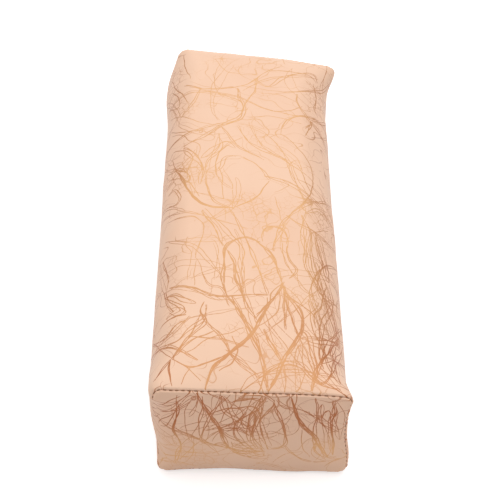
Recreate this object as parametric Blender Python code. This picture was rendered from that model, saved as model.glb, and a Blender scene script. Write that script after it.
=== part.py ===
"""Manicure hand rest: a block of soft foam in a sewn cover of coated leather cloth.

The cover is a wrap that goes once round the block and two end panels. The wrap's long edges
meet in a seam along the base. Each end panel is sewn to the wrap all round, with the seam
allowances turned in behind the panel, so that a groove with the thread in it runs round the
end. The foam swells the cover between the seams, and the seams hold the ends in.

The rest stands on its base: +Z is up, the long way is Y and the front end faces -Y. The
origin is under the middle, on the surface that the rest stands on.
"""

import math

import bmesh
import bpy

MM = 0.001

# The whole rest along its middle, and the outline of its ends at the seam
LENGTH = 300.0 * MM
END_WIDTH = 97.0 * MM
END_HEIGHT = 59.0 * MM
END_LIFT = 0.8 * MM
END_CORNER_R = 5.0 * MM
END_TOP_ARCH = 0.8 * MM
END_SIDE_PULL = 1.6 * MM
END_CROWN = 3.0 * MM

# The stuffed part between the ends
BODY_WIDTH = 94.0 * MM
BODY_HEIGHT = 64.2 * MM
BODY_TOP_R = 15.0 * MM
BODY_BASE_R = 9.0 * MM
TOP_CROWN = 3.3 * MM
SIDE_SWELL = 2.8 * MM
PULL_IN = 32.0 * MM

# The rear end was sewn out of square: its slant across the width, and the length that takes it up
REAR_SLANT = 0.11
REAR_SLANT_REACH = 120.0 * MM

# The leather cloth and how it is folded at a seam
LEATHER = 0.9 * MM
FOLD_INNER_R = 0.4 * MM
SEAM_ALLOWANCE = 7.0 * MM
BASE_ALLOWANCE = 5.0 * MM
BASE_FOLD_R = 2.0 * MM
ALLOWANCE_TRIM = 2.0 * MM

# The sewing thread
THREAD_D = 0.7 * MM
STITCH_PITCH = 3.1 * MM
STITCH_DIP = 0.25 * MM

# Room between pieces that touch
FIT_GAP = 0.3 * MM

# How finely the soft form is divided
BASE_STEPS = 2
CORNER_STEPS = 4
SIDE_STEPS = 4
TOP_STEPS = 4
PANEL_ROWS = 4
PANEL_FOLD_STEPS = 6
SEEN_TURN_STEPS = 5
HIDDEN_TURN_STEPS = 2
BODY_ROWS = (0.06, 0.16, 0.32, 0.58, 1.0, 2.0)
LEAST_CORNER_R = 0.5 * MM

# Worked out from the sizes above
FOLD_R = LEATHER + FOLD_INNER_R
FOLD_SETBACK = FOLD_R + (2 * FOLD_R + FIT_GAP) / math.sqrt(2)
WRAP_CENTRE = (FOLD_R, FOLD_SETBACK)
PANEL_CENTRE = (FOLD_SETBACK, FOLD_R)
HEM_END = FOLD_SETBACK + SEAM_ALLOWANCE
FLANGE_FACE = 2 * FOLD_R + FIT_GAP
END_PLANE = LENGTH / 2 - END_CROWN
FOAM_SKIN = LEATHER + FIT_GAP


def seat_height(fold_r):
    """How far a thread's centre stands above the line through the centres of the two folds it lies between."""
    reach = fold_r + THREAD_D / 2 + FIT_GAP
    return math.sqrt(reach**2 - (fold_r + FIT_GAP / 2) ** 2)


class Section:
    """The outline of the cover square to its length: a rounded rectangle with a crown and swollen sides."""

    def __init__(self, width, base, height, top_r, base_r, crown, swell):
        self.width = width
        self.base = base
        self.height = height
        self.top_r = top_r
        self.base_r = base_r
        self.crown = crown
        self.swell = swell

    def mixed(self, other, share):
        """The section that is this share of the way from this one to the other."""
        pairs = zip(vars(self).values(), vars(other).values())
        return Section(*(a + (b - a) * share for a, b in pairs))

    def ring(self, inset):
        """The outline drawn in by inset, as (x, z) points from the middle of the base, anticlockwise."""
        half = self.width / 2 - inset
        low = self.base + inset
        high = self.base + self.height - inset
        top_r = max(self.top_r - inset, LEAST_CORNER_R)
        base_r = max(self.base_r - inset, LEAST_CORNER_R)
        right = []
        for i in range(BASE_STEPS):
            right.append(((half - base_r) * i / BASE_STEPS, low))
        for i in range(CORNER_STEPS + 1):
            angle = math.radians(90) * i / CORNER_STEPS
            right.append((half - base_r * (1 - math.sin(angle)), low + base_r * (1 - math.cos(angle))))
        for i in range(1, SIDE_STEPS):
            share = i / SIDE_STEPS
            right.append((half, (low + base_r) * (1 - share) + (high - top_r) * share))
        for i in range(CORNER_STEPS + 1):
            angle = math.radians(90) * i / CORNER_STEPS
            right.append((half - top_r * (1 - math.cos(angle)), high - top_r * (1 - math.sin(angle))))
        for i in range(1, TOP_STEPS):
            right.append(((half - top_r) * (1 - i / TOP_STEPS), high))
        left = [(-x, z) for x, z in reversed(right[1:])]
        outline = right + [(0.0, high)] + left
        return [self.stuffed(x, z, half, low, high) for x, z in outline]

    def stuffed(self, x, z, half, low, high):
        """A point of the plain outline, moved to where the stuffing pushes it."""
        up = (z - low) / (high - low)
        across = x / half
        lift = self.crown * (1 - across**2) * up**2
        push = self.swell * (1 - (2 * up - 1) ** 2) * across
        return x + push, z + lift


END_SECTION = Section(
    END_WIDTH, END_LIFT, END_HEIGHT, END_CORNER_R, END_CORNER_R, END_TOP_ARCH, -END_SIDE_PULL
)
BODY_SECTION = Section(
    BODY_WIDTH, 0.0, BODY_HEIGHT, BODY_TOP_R, BODY_BASE_R, TOP_CROWN, SIDE_SWELL
)


def section_at(setback):
    """The cover's section at this distance behind the plane of an end panel."""
    share = min(max((setback - FOLD_SETBACK) / PULL_IN, 0.0), 1.0)
    return END_SECTION.mixed(BODY_SECTION, 1 - (1 - share) ** 2)


def front_row(inset, setback):
    """A ring of the cover near its front end, as points in space."""
    y = -END_PLANE + setback
    return [(x, y, z) for x, z in section_at(setback).ring(inset)]


def end_bulge(x, z):
    """How far the stuffing pushes an end face out at this point."""
    across = x / (END_WIDTH / 2 - FOLD_SETBACK)
    up = (z - END_LIFT - END_HEIGHT / 2) / (END_HEIGHT / 2 - FOLD_SETBACK)
    return END_CROWN * max(1 - across**2, 0.0) * max(1 - up**2, 0.0)


def face_row(row, share):
    """A ring across an end face: this share of the size of the given one, and pushed out by the stuffing."""
    middle_z = END_LIFT + END_HEIGHT / 2
    shrunk = [(x * share, y, middle_z + (z - middle_z) * share) for x, y, z in row]
    return [(x, y - end_bulge(x, z), z) for x, y, z in shrunk]


def mirrored(rows):
    """The same rows at the other end, in the order that carries on from the front ones."""
    return [[(x, -y, z) for x, y, z in row] for row in reversed(rows)]


def arc(centre, radius, start, end, steps):
    """Points of an arc in the plane of (inset, setback), with the angles in degrees from inset to setback."""
    angles = [math.radians(start + (end - start) * i / steps) for i in range(steps + 1)]
    return [(centre[0] + radius * math.cos(a), centre[1] + radius * math.sin(a)) for a in angles]


def body_setbacks():
    """The setbacks of the rows between the front seam and the middle of the rest."""
    near = [FOLD_SETBACK + share * PULL_IN for share in BODY_ROWS]
    return [s for s in near if s < END_PLANE - PULL_IN / 2]


def mesh_object(name, points, faces, material):
    """A new object with this mesh, its faces turned outwards and shaded smooth apart from its folds."""
    mesh = bpy.data.meshes.new(name)
    mesh.from_pydata(points, [], faces)
    builder = bmesh.new()
    builder.from_mesh(mesh)
    bmesh.ops.recalc_face_normals(builder, faces=builder.faces)
    builder.to_mesh(mesh)
    builder.free()
    mesh.shade_smooth()
    mesh.set_sharp_from_angle(angle=math.radians(40))
    mesh.materials.append(material)
    made = bpy.data.objects.new(name, mesh)
    bpy.context.scene.collection.objects.link(made)
    return made


def skin_rows(name, rows, material, closed):
    """A solid skinned over rings of equal length. Rows that don't close on themselves end in a fan of triangles."""
    points = [p for row in rows for p in row]
    count = len(rows[0])
    faces = []
    pairs = len(rows) if closed else len(rows) - 1
    for r in range(pairs):
        below = r * count
        above = ((r + 1) % len(rows)) * count
        for i in range(count):
            j = (i + 1) % count
            faces.append((below + i, below + j, above + j, above + i))
    if not closed:
        for row, start in ((rows[0], 0), (rows[-1], (len(rows) - 1) * count)):
            middle = len(points)
            points.append(tuple(sum(p[k] for p in row) / count for k in range(3)))
            faces += [(start + i, start + (i + 1) % count, middle) for i in range(count)]
    return mesh_object(name, points, faces, material)


def material(name, colour, roughness):
    """A Principled material of one colour."""
    made = bpy.data.materials.new(name)
    made.use_nodes = True
    shader = made.node_tree.nodes["Principled BSDF"]
    shader.inputs["Base Color"].default_value = (*colour, 1.0)
    shader.inputs["Roughness"].default_value = roughness
    shader.inputs["Metallic"].default_value = 0.0
    return made


def prism(name, profile, half_length):
    """A solid of this (x, z) outline, drawn out along Y to half_length each way."""
    rows = [[(x, y, z) for x, z in profile] for y in (-half_length, half_length)]
    count = len(profile)
    faces = [(i, (i + 1) % count, count + (i + 1) % count, count + i) for i in range(count)]
    faces += [tuple(range(count)), tuple(range(count, 2 * count))]
    return mesh_object(name, rows[0] + rows[1], faces, material("tool_" + name, (0.5, 0.5, 0.5), 0.5))


def combine(target, tool, operation):
    """Joins tool to target or cuts it away, and leaves only the target."""
    modifier = target.modifiers.new(tool.name, "BOOLEAN")
    modifier.operation = operation
    modifier.solver = "EXACT"
    modifier.object = tool
    graph = bpy.context.evaluated_depsgraph_get()
    mesh = bpy.data.meshes.new_from_object(target.evaluated_get(graph))
    target.modifiers.remove(modifier)
    target.data = mesh
    bpy.data.objects.remove(tool)


def wrap_front_profile(depth):
    """The wrap's front edge from the tip of its allowance to its side, as (inset, setback). Depth is 0 on the face."""
    tip = (HEM_END, FLANGE_FACE + depth)
    inner_turn = arc(PANEL_CENTRE, FOLD_R + FIT_GAP + depth, 90, 135, 2)
    steps = HIDDEN_TURN_STEPS if depth > 0 else SEEN_TURN_STEPS
    outer_turn = arc(WRAP_CENTRE, FOLD_R - depth, 315, 180, steps)
    return [tip] + inner_turn + outer_turn[1:]


def wrap_rows(depth):
    """The rings of one face of the wrap, from the front allowance to the rear one."""
    front = [front_row(n, e) for n, e in wrap_front_profile(depth)]
    front += [front_row(depth, e) for e in body_setbacks()]
    middle = [front_row(depth, END_PLANE)]
    return front + middle + mirrored(front)


def base_lips_profile():
    """The folded edges of the wrap at the base seam, both together, standing up inside the cover."""
    fold_x = FIT_GAP / 2 + BASE_FOLD_R
    root = LEATHER / 3
    inner = arc((fold_x, BASE_FOLD_R), BASE_FOLD_R - LEATHER, 250, 180, 3)
    lip = FIT_GAP / 2 + LEATHER
    right = [(fold_x + LEATHER, root)] + inner + [(lip, BASE_ALLOWANCE)]
    return right + [(-x, z) for x, z in reversed(right)]


def base_seam_profile():
    """The gap between the two folded edges, with their rounded outer faces, as a cutter."""
    fold_x = FIT_GAP / 2 + BASE_FOLD_R
    below = -BASE_FOLD_R
    above = BASE_ALLOWANCE + BASE_FOLD_R
    outer = arc((fold_x, BASE_FOLD_R), BASE_FOLD_R, 262, 180, 5)
    right = [(outer[0][0], below)] + outer + [(FIT_GAP / 2, above)]
    return right + [(-x, z) for x, z in reversed(right)]


def cover_wrap(leather):
    """The sheet that goes round the block, with its ends turned in and its long edges folded up at the base."""
    wrap = skin_rows("cover_wrap", wrap_rows(0.0) + wrap_rows(LEATHER)[::-1], leather, closed=True)
    lips_half = END_PLANE - FLANGE_FACE - LEATHER - ALLOWANCE_TRIM
    combine(wrap, prism("base_lips", base_lips_profile(), lips_half), "UNION")
    combine(wrap, prism("base_gap", base_seam_profile(), LENGTH), "DIFFERENCE")
    return wrap


def panel_face(depth):
    """The rings across an end panel's face, from the fold to near the middle, crowned by the foam."""
    rim = front_row(FOLD_SETBACK, depth)
    return [face_row(rim, 1 - i / (PANEL_ROWS + 1)) for i in range(1, PANEL_ROWS + 1)]


def end_panel_rows():
    """The front end panel: its face, the fold at the seam and the hem turned back behind it."""
    outer_fold = arc(PANEL_CENTRE, FOLD_R, 270, 90, PANEL_FOLD_STEPS)
    inner_fold = arc(PANEL_CENTRE, FOLD_R - LEATHER, 90, 270, HIDDEN_TURN_STEPS)
    hem = [(HEM_END, 2 * FOLD_R), (HEM_END, 2 * FOLD_R - LEATHER)]
    edge = [front_row(n, e) for n, e in outer_fold + hem + inner_fold]
    return panel_face(0.0)[::-1] + edge + panel_face(LEATHER)


def foam_front_rows():
    """The foam's front end: a rim pressed back by the seam allowances, and a middle that fills the panel."""
    rim_face = FLANGE_FACE + FOAM_SKIN
    pad_edge = HEM_END + LEATHER
    pad = front_row(pad_edge + rim_face - FOAM_SKIN, FOAM_SKIN)
    filled = [face_row(pad, 1 - i / PANEL_ROWS) for i in range(PANEL_ROWS)]
    edge = [front_row(pad_edge, rim_face), front_row(FOAM_SKIN, rim_face)]
    return filled[::-1] + edge


def foam_core(foam):
    """The foam block, as the closed cover presses it, with a channel in its base for the wrap's folded edges."""
    front = foam_front_rows()
    front += [front_row(FOAM_SKIN, e) for e in [FLANGE_FACE + 2 * FOAM_SKIN] + body_setbacks()[1:]]
    middle = [front_row(FOAM_SKIN, END_PLANE)]
    core = skin_rows("foam_core", front + middle + mirrored(front), foam, closed=False)
    half = FIT_GAP / 2 + BASE_FOLD_R + FIT_GAP
    top = BASE_ALLOWANCE + FIT_GAP
    neck = FIT_GAP / 2 + LEATHER + FIT_GAP
    right = [(half, -BASE_FOLD_R), (half, BASE_FOLD_R), (neck, BASE_FOLD_R + LEATHER), (neck, top)]
    channel = prism("channel", right + [(-x, z) for x, z in reversed(right)], LENGTH)
    combine(core, channel, "DIFFERENCE")
    return core


def points_along(loop, count):
    """This many points, spaced evenly along a closed line."""
    lengths = [math.dist(a, b) for a, b in zip(loop, loop[1:] + loop[:1])]
    total = sum(lengths)
    found = []
    passed = 0.0
    step = 0
    for i in range(count):
        wanted = total * i / count
        while passed + lengths[step] < wanted:
            passed += lengths[step]
            step += 1
        share = (wanted - passed) / lengths[step]
        start = loop[step]
        end = loop[(step + 1) % len(loop)]
        found.append(tuple(a + (b - a) * share for a, b in zip(start, end)))
    return found


def thread_curve(name, points, cyclic, thread):
    """A thread of round section along these points."""
    curve = bpy.data.curves.new(name, "CURVE")
    curve.dimensions = "3D"
    curve.bevel_depth = THREAD_D / 2
    curve.bevel_resolution = 1
    curve.use_fill_caps = not cyclic
    spline = curve.splines.new("POLY")
    spline.points.add(len(points) - 1)
    for place, point in zip(spline.points, points):
        place.co = (*point, 1.0)
    spline.use_cyclic_u = cyclic
    curve.materials.append(thread)
    made = bpy.data.objects.new(name, curve)
    bpy.context.scene.collection.objects.link(made)
    return made


def end_seam_thread(name, side, thread):
    """The thread in the groove round an end panel. Each stitch lies on the folds and dips between them."""
    seat = (FOLD_R + FOLD_SETBACK) / 2 - seat_height(FOLD_R) / math.sqrt(2)
    dip = STITCH_DIP / math.sqrt(2)
    low = front_row(seat, seat)
    high = front_row(seat - dip, seat - dip)
    perimeter = sum(math.dist(a, b) for a, b in zip(low, low[1:] + low[:1]))
    count = 2 * round(perimeter / STITCH_PITCH)
    lower = points_along(low, count)
    upper = points_along(high, count)
    path = [lower[i] if i % 2 == 0 else upper[i] for i in range(count)]
    return thread_curve(name, [(x, side * y, z) for x, y, z in path], True, thread)


def base_seam_thread(thread):
    """The thread in the groove along the base, clear of the surface that the rest stands on."""
    high = BASE_FOLD_R - seat_height(BASE_FOLD_R)
    half = END_PLANE - FOLD_SETBACK - ALLOWANCE_TRIM
    count = 2 * round(2 * half / STITCH_PITCH)
    path = []
    for i in range(count + 1):
        z = high + (STITCH_DIP if i % 2 == 0 else 0.0)
        path.append((0.0, -half + 2 * half * i / count, z))
    return thread_curve("base_seam_thread", path, False, thread)


def slanted(x, y, z):
    """Where a point of the square form lies once the rear end is sewn a little out of square."""
    share = min(max(1 - (END_PLANE - y) / REAR_SLANT_REACH, 0.0), 1.0)
    eased = share * share * (3 - 2 * share)
    return x, y - REAR_SLANT * x * eased, z


def slant_rear(piece):
    """Moves a finished piece's points to where they lie in the rest as it was sewn."""
    if piece.type == "CURVE":
        for point in piece.data.splines[0].points:
            point.co = (*slanted(*point.co[:3]), 1.0)
        return
    for vertex in piece.data.vertices:
        vertex.co = slanted(*vertex.co)


def build():
    """Makes every piece of the hand rest."""
    for old in list(bpy.data.objects):
        bpy.data.objects.remove(old)
    leather = material("blush_leather_cloth", (0.86, 0.62, 0.47), 0.45)
    foam = material("white_foam", (0.88, 0.86, 0.80), 0.95)
    thread = material("brown_thread", (0.20, 0.08, 0.045), 0.7)
    foam_core(foam)
    cover_wrap(leather)
    panel_rows = end_panel_rows()
    skin_rows("front_end_panel", panel_rows, leather, closed=False)
    skin_rows("rear_end_panel", mirrored(panel_rows), leather, closed=False)
    end_seam_thread("front_seam_thread", 1, thread)
    end_seam_thread("rear_seam_thread", -1, thread)
    base_seam_thread(thread)
    for piece in bpy.context.scene.objects:
        slant_rear(piece)


build()
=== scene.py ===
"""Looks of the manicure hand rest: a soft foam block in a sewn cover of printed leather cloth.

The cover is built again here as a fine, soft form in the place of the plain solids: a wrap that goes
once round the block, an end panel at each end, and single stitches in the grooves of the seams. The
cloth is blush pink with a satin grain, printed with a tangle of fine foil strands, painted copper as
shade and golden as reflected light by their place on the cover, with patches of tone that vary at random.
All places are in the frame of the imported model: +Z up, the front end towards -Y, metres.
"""

import math

import bmesh
import bpy
import numpy as np
from mathutils import Matrix
from mathutils.kdtree import KDTree


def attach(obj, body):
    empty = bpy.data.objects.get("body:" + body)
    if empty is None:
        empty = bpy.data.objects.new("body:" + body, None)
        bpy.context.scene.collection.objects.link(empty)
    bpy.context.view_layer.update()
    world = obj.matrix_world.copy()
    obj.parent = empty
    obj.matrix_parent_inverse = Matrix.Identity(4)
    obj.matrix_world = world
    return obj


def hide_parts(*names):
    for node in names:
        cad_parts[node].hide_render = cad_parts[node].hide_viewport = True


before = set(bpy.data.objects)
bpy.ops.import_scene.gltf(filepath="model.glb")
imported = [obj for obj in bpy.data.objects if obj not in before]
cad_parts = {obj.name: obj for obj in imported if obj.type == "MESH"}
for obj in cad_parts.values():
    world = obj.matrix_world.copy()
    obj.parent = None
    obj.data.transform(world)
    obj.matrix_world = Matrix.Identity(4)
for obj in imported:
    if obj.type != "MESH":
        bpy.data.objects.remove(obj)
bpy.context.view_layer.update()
bpy.ops.object.select_all(action="DESELECT")

MM = 0.001
RNG = np.random.default_rng(11)

# The form of the cover, close to that of the solids
END_PLANE = 147.0 * MM
END_WIDTH = 97.0 * MM
END_HEIGHT = 59.0 * MM
END_LIFT = 0.8 * MM
END_CORNER_R = 5.0 * MM
END_TOP_ARCH = 0.8 * MM
END_SIDE_PULL = 1.6 * MM
END_CROWN = 3.0 * MM
BODY_WIDTH = 94.0 * MM
BODY_HEIGHT = 64.2 * MM
BODY_TOP_R = 15.0 * MM
BODY_BASE_R = 9.0 * MM
TOP_CROWN = 2.9 * MM
SIDE_SWELL = 1.3 * MM
PULL_IN = 32.0 * MM
REAR_SLANT = 0.11
REAR_SLANT_REACH = 120.0 * MM
LEAST_CORNER_R = 0.5 * MM

# The cloth at its seams, pressed tighter than the solids can be
LEATHER = 0.6 * MM
FOLD_R = 0.75 * MM
SEAM_GAP = 0.06 * MM
SEAM_ALLOWANCE = 7.0 * MM
BASE_FOLD_R = 2.0 * MM
BASE_GAP = 0.3 * MM
FOAM_GAP = 1.4 * MM
THREAD_D = 0.42 * MM
STITCH_PITCH = 3.1 * MM
STITCH_LENGTH = 1.95 * MM
STITCH_SAG = 0.22 * MM
STITCH_PULL = (0.55, 1.25)
BASE_SEAM_END = 6.0 * MM
PUCKER = 0.36 * MM
PUCKER_REACH = 2.6 * MM
PUCKER_BATCH = 4000
SWELL_START = 0.6 * MM

FOLD_SETBACK = FOLD_R + (2 * FOLD_R + SEAM_GAP) / math.sqrt(2)
WRAP_CENTRE = (FOLD_R, FOLD_SETBACK)
PANEL_CENTRE = (FOLD_SETBACK, FOLD_R)
HEM_END = FOLD_SETBACK + SEAM_ALLOWANCE
FLANGE_FACE = 2 * FOLD_R + SEAM_GAP
FOAM_SKIN = LEATHER + FOAM_GAP

# How finely a half of the outline is divided: base, base corner, side, top corner, top
FINE = (12, 8, 46, 20, 42)
COARSE = (5, 3, 9, 5, 8)
BASE_FOLD_STEPS = 4
FIRST_ROW = 0.4 * MM
ROW_GROWTH = 1.1
LONGEST_ROW = 1.1 * MM
FACE_RINGS = 34
FOAM_RINGS = 6
# Rows of the wrap's hidden face and of the foam, counted from the seam in lengths of PULL_IN
INNER_ROWS = (0.1, 0.3, 0.6, 1.0, 2.2)
FOAM_ROWS = (0.2, 0.4, 0.7, 1.0, 1.6, 2.4, 3.3)

# How this one was sewn and stuffed: the top slopes down to the right, and body and ends sit that way
BODY_SHIFT = 0.6 * MM
LEAN_MIDDLE = 0.04
LEAN_FRONT = 0.09
LEAN_REAR = 0.08
LEAN_REACH = 60.0 * MM
REAR_SHIFT = 6.0 * MM
REAR_SHIFT_REACH = 42.0 * MM
FRONT_SHIFT = 1.8 * MM
FRONT_SHIFT_REACH = 26.0 * MM

# Corners that stand out or puff up: place, reach each way and move, in millimetres
SOFT_CORNERS = (
    ((47, -146, 60), (9, 9, 8), (1.5, -0.6, 0.9)),
    ((48, -134, 56), (10, 10, 10), (0.8, 0.0, 0.4)),
    ((30, -147, 58), (28, 14, 18), (0.0, 0.0, 1.3)),
    ((-48, -141, 50), (10, 11, 14), (-1.0, 0.0, 0.8)),
    ((-46, -149, 58), (9, 4.5, 9), (2.6, 0.0, -0.2)),
    ((-48, -146, 30), (8, 14, 19), (-3.0, 0.0, 0.0)),
    ((-50, -124, 16), (9, 22, 20), (2.6, 0.0, 0.0)),
    ((47, 146, 56), (12, 12, 13), (5.0, 1.5, -0.4)),
    ((49, 100, 40), (12, 45, 40), (1.2, 0.0, 0.0)),
    ((-49, 140, 42), (13, 26, 17), (-5.6, 0.0, 0.0)),
    ((-47, 146, 60), (13, 18, 16), (1.9, 2.0, 0.0)),
    ((-15, 147, 60), (40, 26, 40), (0.0, 1.6, 1.5)),
    ((26, 147, 60), (22, 26, 40), (0.0, 1.4, 1.4)),
    ((49, -146, 15), (9, 10, 11), (1.5, 0.0, 0.0)),
    ((-47, -149, 3), (7, 7, 6), (0.2, 0.4, -0.4)),
    ((-20, -149, 1), (36, 8, 6), (0.0, 1.9, 1.6)),
    ((-36, -148, 0.6), (13, 6, 1.6), (0.0, -0.7, 0.0)),
    ((16, -148, 0.6), (24, 6, 1.6), (0.0, -0.8, 0.0)),
)
# The left edge of the front end is rolled back between its corners
ROLLED_EDGE = -51.0 * MM
ROLL_REACH = 6.5 * MM
ROLL_BACK = 15.0 * MM
ROLL_FADES = (3.0 * MM, 16.0 * MM, 44.0 * MM, 53.0 * MM)
ROLLED_STITCH_DEPTH = 0.5 * MM

# The stuffing: a coarse cover is blown up, held at its seams and base, and every piece moves with it
STUFFED_STEPS = (5, 2, 10, 4, 8)
STUFFED_ROW = 5.0 * MM
STUFFED_RINGS = (0.1, 0.3, 0.5, 0.7, 0.86)
STUFFED_FRAMES = 20
STUFFED_CLOTH = {
    "quality": 6,
    "mass": 0.2,
    "tension_stiffness": 12,
    "compression_stiffness": 12,
    "bending_stiffness": 0.4,
    "vertex_group_mass": "held",
    "use_pressure": True,
    "uniform_pressure_force": 3.0,
    "vertex_group_shrink": "slack",
    "shrink_min": -0.03,
    "shrink_max": 0.01,
}
HELD_BELOW = 1.2 * MM
MOST_STUFFED = 1.5 * MM
CARRIED_BY = 14
CARRY_REACH = 6.0 * MM

# The camera
CAMERA_PLACE = np.array((-0.1, -553.2, 504.3)) * MM
CAMERA_ELEVATION = math.radians(41.0)
CAMERA_YAW = math.radians(0.23)
CAMERA_ROLL = math.radians(-0.21)
FOCAL_PIXELS = 1259.0
FRAME_PIXELS = 500.0
SENSOR = 36.0
NEAREST_SEEN = 0.01
FARTHEST_SEEN = 20.0


def eased(share):
    """Shares from 0 to 1 that start and end slowly."""
    share = np.clip(share, 0.0, 1.0)
    return share * share * (3 - 2 * share)


class Section:
    """The outline of the cover square to its length: a rounded rectangle with a crown and swollen sides."""

    def __init__(self, width, base, height, top_r, base_r, crown, swell):
        self.width = width
        self.base = base
        self.height = height
        self.top_r = top_r
        self.base_r = base_r
        self.crown = crown
        self.swell = swell

    def mixed(self, other, share):
        """The section that is this share of the way from this one to the other."""
        pairs = zip(vars(self).values(), vars(other).values())
        return Section(*(a + (b - a) * share for a, b in pairs))

    def ring(self, inset, steps, groove):
        """The outline drawn in by inset, as rows of x and z, from the middle of the base anticlockwise."""
        base_steps, base_corner_steps, side_steps, top_corner_steps, top_steps = steps
        half = self.width / 2 - inset
        low = self.base + inset
        high = self.base + self.height - inset
        top_r = max(self.top_r - inset, LEAST_CORNER_R)
        base_r = max(self.base_r - inset, LEAST_CORNER_R)
        start = BASE_FOLD_R + BASE_GAP / 2 if groove else 0.0
        flat = np.linspace(start, half - base_r, base_steps, endpoint=False)
        base = np.stack([flat, np.full(base_steps, low)], 1)
        angle = np.linspace(0, math.pi / 2, base_corner_steps + 1)
        base_corner = np.stack([half - base_r * (1 - np.sin(angle)), low + base_r * (1 - np.cos(angle))], 1)
        rise = np.linspace(low + base_r, high - top_r, side_steps + 1)[1:-1]
        side = np.stack([np.full(side_steps - 1, half), rise], 1)
        angle = np.linspace(0, math.pi / 2, top_corner_steps + 1)
        top_corner = np.stack([half - top_r * (1 - np.cos(angle)), high - top_r * (1 - np.sin(angle))], 1)
        across = np.linspace(half - top_r, 0, top_steps, endpoint=False)[1:]
        top = np.stack([across, np.full(top_steps - 1, high)], 1)
        right = self.stuffed(np.concatenate([base, base_corner, side, top_corner, top]), half, low, high)
        middle = np.array([[0.0, high + self.crown]])
        if groove:
            right = np.concatenate([base_fold(inset, low), right])
            bottom = np.array([[0.0, low + BASE_FOLD_R - inset]])
            return np.concatenate([bottom, right, middle, right[::-1] * [-1, 1]])
        return np.concatenate([right, middle, right[:0:-1] * [-1, 1]])

    def stuffed(self, outline, half, low, high):
        """The plain outline, moved to where the stuffing pushes it."""
        up = (outline[:, 1] - low) / (high - low)
        across = outline[:, 0] / half
        push = self.swell * (1 - (2 * up - 1) ** 2) * across
        lift = self.crown * (1 - across**2) * up**2
        return outline + np.stack([push, lift], 1)


def base_fold(inset, low):
    """The right-hand roll of cloth beside the groove of the base seam, from the groove outwards."""
    radius = max(BASE_FOLD_R - inset, LEAST_CORNER_R)
    angle = np.linspace(math.pi, 1.5 * math.pi, BASE_FOLD_STEPS + 1)[:-1]
    centre = BASE_FOLD_R + BASE_GAP / 2
    return np.stack([centre + radius * np.cos(angle), low + radius + radius * np.sin(angle)], 1)


END_SECTION = Section(
    END_WIDTH, END_LIFT, END_HEIGHT, END_CORNER_R, END_CORNER_R, END_TOP_ARCH, -END_SIDE_PULL
)
BODY_SECTION = Section(
    BODY_WIDTH, 0.0, BODY_HEIGHT, BODY_TOP_R, BODY_BASE_R, TOP_CROWN, SIDE_SWELL
)


def section_at(setback):
    """The cover's section at this distance behind the plane of an end panel."""
    share = min(max((setback - SWELL_START) / PULL_IN, 0.0), 1.0)
    return END_SECTION.mixed(BODY_SECTION, 1 - (1 - share) ** 2)


def front_row(inset, setback, steps=FINE, groove=True):
    """A ring of the cover near its front end, as points in space."""
    ring = section_at(setback).ring(inset, steps, groove)
    y = np.full(len(ring), setback - END_PLANE)
    return np.stack([ring[:, 0], y, ring[:, 1]], 1)


def mirrored(rows):
    """The same rows at the other end, in the order that carries on from the front ones."""
    return [row * [1, -1, 1] for row in reversed(rows)]


def arc(centre, radius, start, end, steps):
    """Points of an arc in the plane of (inset, setback), its angles in degrees from inset to setback."""
    angles = np.radians(np.linspace(start, end, steps + 1))
    return [(centre[0] + radius * math.cos(a), centre[1] + radius * math.sin(a)) for a in angles]


def body_setbacks():
    """The setbacks of the rows between the front seam and the middle: close at the seam, then wider."""
    places = [FOLD_SETBACK]
    step = FIRST_ROW
    while places[-1] + step < END_PLANE - step / 2:
        places.append(places[-1] + step)
        step = min(step * ROW_GROWTH, LONGEST_ROW)
    return places[1:]


def wrap_outer_profile():
    """The wrap's outer face from the tip of its front allowance to its middle, as (inset, setback)."""
    inner_turn = arc(PANEL_CENTRE, FOLD_R + SEAM_GAP, 90, 135, 3)
    outer_turn = arc(WRAP_CENTRE, FOLD_R, 315, 180, 8)
    return [(HEM_END, FLANGE_FACE)] + inner_turn + outer_turn[1:] + [(0.0, e) for e in body_setbacks()]


def wrap_inner_profile():
    """The wrap's hidden face, in few rows."""
    inner_turn = arc(PANEL_CENTRE, FOLD_R + SEAM_GAP + LEATHER, 90, 135, 1)
    outer_turn = arc(WRAP_CENTRE, FOLD_R - LEATHER, 315, 180, 1)
    body = [(LEATHER, FOLD_SETBACK + PULL_IN * share) for share in INNER_ROWS]
    return [(HEM_END, FLANGE_FACE + LEATHER)] + inner_turn + outer_turn[1:] + body


def end_bulge(x, z):
    """How far the stuffing pushes an end face out at these points."""
    across = x / (END_WIDTH / 2 - FOLD_SETBACK)
    up = (z - END_LIFT - END_HEIGHT / 2) / (END_HEIGHT / 2 - FOLD_SETBACK)
    return END_CROWN * np.maximum(1 - across**2, 0.0) * np.maximum(1 - up**2, 0.0)


def face_row(row, share):
    """A ring across an end face: the given one at this share of its size, pushed out by the stuffing."""
    middle = np.array([0.0, 0.0, END_LIFT + END_HEIGHT / 2])
    shrunk = middle + (row - middle) * [share, 1, share]
    shrunk[:, 1] -= end_bulge(shrunk[:, 0], shrunk[:, 2])
    return shrunk


def face_rows(depth, count, steps=FINE):
    """The rings across an end panel's face, from near its middle to its rim."""
    rim = front_row(FOLD_SETBACK, depth, steps, groove=False)
    return [face_row(rim, (i + 0.5) / (count + 0.5)) for i in range(count)]


def end_panel_rows():
    """The front end panel, with a fine face and fold and a coarse back."""
    outer_fold = arc(PANEL_CENTRE, FOLD_R, 270, 90, 10)
    inner_fold = arc(PANEL_CENTRE, FOLD_R - LEATHER, 90, 270, 2)
    hem = [(HEM_END, 2 * FOLD_R), (HEM_END, 2 * FOLD_R - LEATHER)]
    edge = [front_row(n, e, groove=False) for n, e in outer_fold + hem + inner_fold]
    return face_rows(0.0, FACE_RINGS) + edge + face_rows(LEATHER, 5)[::-1]


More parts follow.
